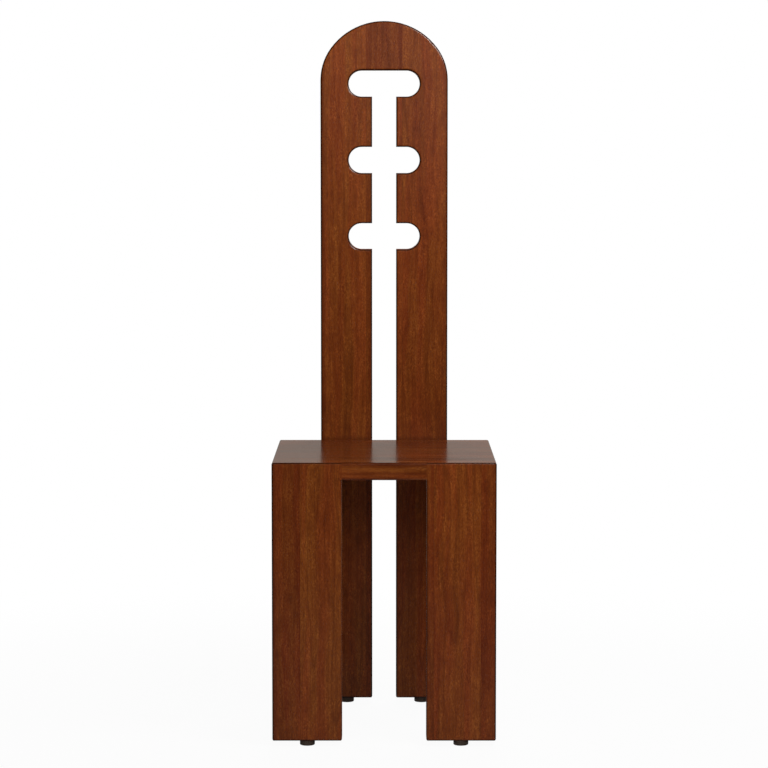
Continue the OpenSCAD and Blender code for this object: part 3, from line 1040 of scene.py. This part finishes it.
def add_world(stage):
    """White for the camera, dim for the light, and for gloss a pale backdrop and a dark front."""
    world = bpy.data.worlds.new("studio")
    bpy.context.scene.world = world
    nodes = Nodes(world)
    towards = nodes.add("ShaderNodeTexCoord", {}, {}, output="Generated")
    behind = nodes.rise(nodes.axis(towards, "Y"), 0.7, 0.95)
    camera = nodes.add("ShaderNodeLightPath", {}, {}, output="Is Camera Ray")
    gloss = nodes.add("ShaderNodeLightPath", {}, {}, output="Is Glossy Ray")
    seen = stage.front_gloss + (stage.back_gloss - stage.front_gloss) * behind
    strength = camera + (1.0 - camera) * (gloss * seen + (1.0 - gloss) * stage.fill)
    tint = nodes.mix(camera, opaque(stage.backdrop), (1.0, 1.0, 1.0, 1.0))
    shine = nodes.add("ShaderNodeBackground", {}, {"Color": tint, "Strength": strength})
    nodes.add("ShaderNodeOutputWorld", {}, {"Surface": shine})


class CHAIR_OT_make_stage(Operator):
    """Set the camera, the pale floor and the soft studio light"""

    bl_idname = "chair.make_stage"
    bl_label = "Stage"

    def execute(self, context):
        stage = context.scene.chair_stage
        eye = bpy.data.cameras.new("eye")
        eye.sensor_width = SENSOR_WIDTH
        eye.lens = stage.lens
        eye.clip_end = FARTHEST
        camera = bpy.data.objects.new("eye", eye)
        context.scene.collection.objects.link(camera)
        camera.location = stage.eye
        camera.rotation_euler = (math.pi / 2 - stage.pitch, 0.0, 0.0)
        context.scene.camera = camera
        context.scene.view_settings.view_transform = "Standard"
        add_floor(stage)
        add_world(stage)
        add_lamp("key", stage.key_power)
        add_lamp("front", stage.front_power)
        add_lamp("sheen", stage.sheen_power)
        add_lamp("back", stage.back_power)
        return {"FINISHED"}


OPERATORS = (
    CHAIR_OT_make_stage, CHAIR_OT_finish_back, CHAIR_OT_finish_seat, CHAIR_OT_finish_legs,
    CHAIR_OT_finish_blocks, CHAIR_OT_make_dowels, CHAIR_OT_make_screws, CHAIR_OT_make_feet)


class CHAIR_PT_panel(Panel):
    """Lists the chair's pieces in the sidebar"""

    bl_idname = "CHAIR_PT_panel"
    bl_label = "Tall-Backed Chair"
    bl_space_type = "VIEW_3D"
    bl_region_type = "UI"
    bl_category = "Chair"

    def draw(self, context):
        for operator in OPERATORS:
            self.layout.operator(operator.bl_idname)
        for settings in (context.scene.chair_wood, context.scene.chair_foot, context.scene.chair_stage):
            box = self.layout.box()
            for name in settings.bl_rna.properties.keys():
                if name not in ("rna_type", "name"):
                    box.prop(settings, name)


CLASSES = (WoodSettings, FootSettings, StageSettings, *OPERATORS, CHAIR_PT_panel)


def register():
    for part in CLASSES:
        bpy.utils.register_class(part)
    bpy.types.Scene.chair_wood = PointerProperty(type=WoodSettings)
    bpy.types.Scene.chair_foot = PointerProperty(type=FootSettings)
    bpy.types.Scene.chair_stage = PointerProperty(type=StageSettings)


def unregister():
    del bpy.types.Scene.chair_stage
    del bpy.types.Scene.chair_foot
    del bpy.types.Scene.chair_wood
    for part in reversed(CLASSES):
        bpy.utils.unregister_class(part)


def main():
    register()
    bpy.ops.chair.make_stage()
    bpy.ops.chair.finish_back()
    bpy.ops.chair.finish_seat()
    bpy.ops.chair.finish_legs()
    bpy.ops.chair.finish_blocks()
    bpy.ops.chair.make_dowels()
    bpy.ops.chair.make_screws()
    bpy.ops.chair.make_feet()
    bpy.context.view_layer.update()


if __name__ == "__main__":
    main()
